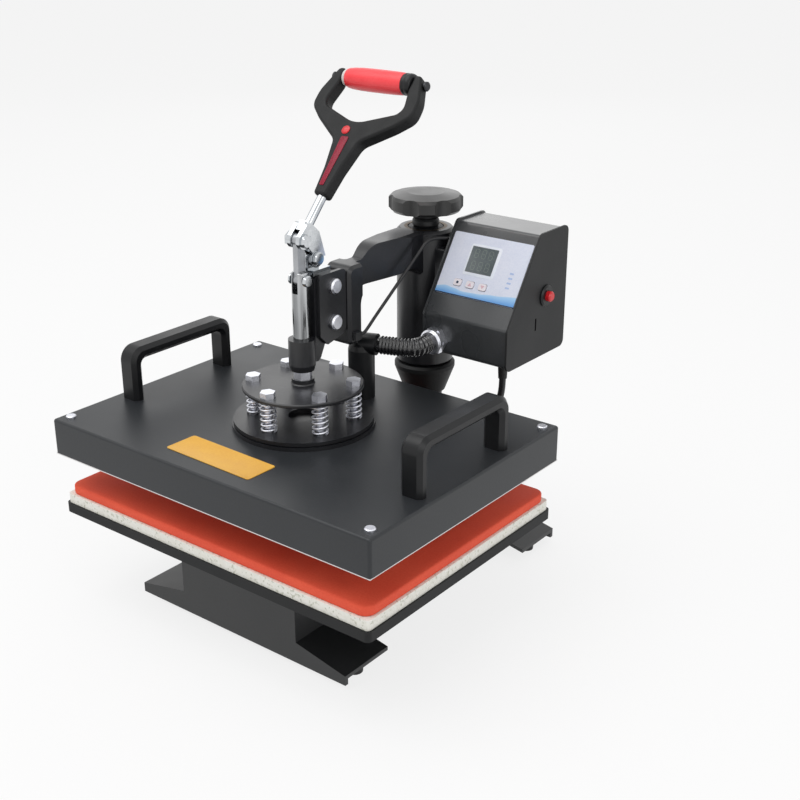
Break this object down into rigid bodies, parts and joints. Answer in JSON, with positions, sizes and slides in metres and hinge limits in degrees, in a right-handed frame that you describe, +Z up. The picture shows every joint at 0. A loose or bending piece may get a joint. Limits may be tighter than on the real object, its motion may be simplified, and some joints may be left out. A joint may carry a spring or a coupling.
{
  "type": "heat press",
  "caption": "Swing-away flat heat press with a toggle lever, a sprung heated platen, a padded lower platen and a control box, for pressing transfers onto cloth.",
  "frame": {"origin": "on the table under the centre of the machine's footprint", "axes": "+Z up, +X to the operator's right, the operator stands at -Y"},
  "size_m": [0.4, 0.5481, 0.5177],
  "materials": {
    "black_paint": "satin black powder coat",
    "base_paint": "black powder coat",
    "chrome": "bright chrome plate",
    "steel": "zinc-plated steel",
    "bronze": "oiled bronze",
    "aluminium": "machined and coated",
    "silicone": "red silicone",
    "board": "off-white fibre board",
    "blanket": "ceramic fibre",
    "black_rubber": "matt black rubber",
    "red_rubber": "red soft grip",
    "black_plastic": "moulded black",
    "panel_film": "printed film",
    "display": "dark display",
    "red_plastic": "red button",
    "grey_plastic": "grey keys",
    "circuit": "circuit board"
  },
  "bodies": {
    "base": {"base_beam": "base_paint", "front_foot": "base_paint", "rear_foot": "base_paint", "rubber_feet": "black_rubber", "column_flange": "base_paint", "column_post": "chrome", "thrust_collar": "base_paint", "base_bolts": "steel", "lower_tray": "base_paint", "insulation_board": "board", "silicone_pad": "silicone", "power_cord": "black_rubber", "cord_coil": "black_rubber", "mains_plug": "black_plastic"},
    "arm": {"swing_arm": "black_paint", "arm_bushes": "bronze", "toggle_bracket": "black_paint", "bracket_bolts": "steel", "pivot_lug": "chrome", "pivot_bolt": "chrome", "box_wrap": "black_paint", "box_side_left": "black_paint", "box_side_right": "black_paint", "box_bracket": "steel", "panel_overlay": "panel_film", "display_window": "display", "circuit_board": "circuit", "button_bezel": "black_plastic", "hose_gland": "chrome", "strain_relief": "black_rubber", "sensor_cable": "black_rubber"},
    "press_head": {"plunger": "chrome", "clevis_pins": "chrome", "plunger_tip": "steel", "pressure_plate": "chrome", "spring_bolts": "steel", "springs": "steel", "platen_disc": "chrome", "heater_cover": "black_paint", "cover_screws": "steel", "heat_plate": "aluminium", "heating_element": "steel", "insulation_blanket": "blanket", "side_handle_left": "black_plastic", "side_handle_right": "black_plastic", "hose_elbow": "black_plastic", "cable_hose": "black_rubber"},
    "lever": {"lever_fork": "chrome", "lever_rod": "chrome", "lever_handle": "black_plastic", "grip_sleeve": "red_rubber", "grip_bolt": "steel", "crank_pin": "chrome"},
    "link": {"toggle_link": "steel"},
    "knob": {"pressure_knob": "black_plastic", "knob_screw": "steel"},
    "button": {"power_button": "red_plastic"},
    "first_key": {"key_1": "grey_plastic"},
    "second_key": {"key_2": "grey_plastic"},
    "third_key": {"key_3": "grey_plastic"}
  },
  "joints": [
    {"name": "arm_swing", "type": "hinge", "parent": "base", "child": "arm", "pos_m": [0, 0.14, 0.3], "axis": [0, 0, 1], "range_deg": [-100, 0]},
    {"name": "press_slide", "type": "slide", "parent": "arm", "child": "press_head", "axis": [0, 0, -1], "range_m": [0, 0.0317], "deforming": ["cable_hose"]},
    {"name": "lever_pivot", "type": "hinge", "parent": "arm", "child": "lever", "pos_m": [0, -0.039, 0.358], "axis": [1, 0, 0], "range_deg": [0, 80.1]},
    {"name": "link_pivot", "type": "hinge", "parent": "lever", "child": "link", "pos_m": [0, -0.055, 0.378], "axis": [1, 0, 0], "range_deg": [-70.3, 0]},
    {"name": "knob_turn", "type": "hinge", "parent": "base", "child": "knob", "pos_m": [0, 0.14, 0.37], "axis": [0, 0, 1], "range_deg": [-360, 360]},
    {"name": "power_button_push", "type": "slide", "parent": "arm", "child": "button", "axis": [-1, 0, 0], "range_m": [0, 0.003], "stiffness_N_per_m": 300},
    {"name": "first_key_push", "type": "slide", "parent": "arm", "child": "first_key", "axis": [0, 0.8366, -0.5478], "range_m": [0, 0.0008], "stiffness_N_per_m": 300},
    {"name": "second_key_push", "type": "slide", "parent": "arm", "child": "second_key", "axis": [0, 0.8366, -0.5478], "range_m": [0, 0.0008], "stiffness_N_per_m": 300},
    {"name": "third_key_push", "type": "slide", "parent": "arm", "child": "third_key", "axis": [0, 0.8366, -0.5478], "range_m": [0, 0.0008], "stiffness_N_per_m": 300}
  ],
  "couplings": [
    {"joint": "lever_pivot", "follows": "press_slide", "rad_per_m": 44.046},
    {"joint": "link_pivot", "follows": "press_slide", "rad_per_m": -38.645}
  ]
}
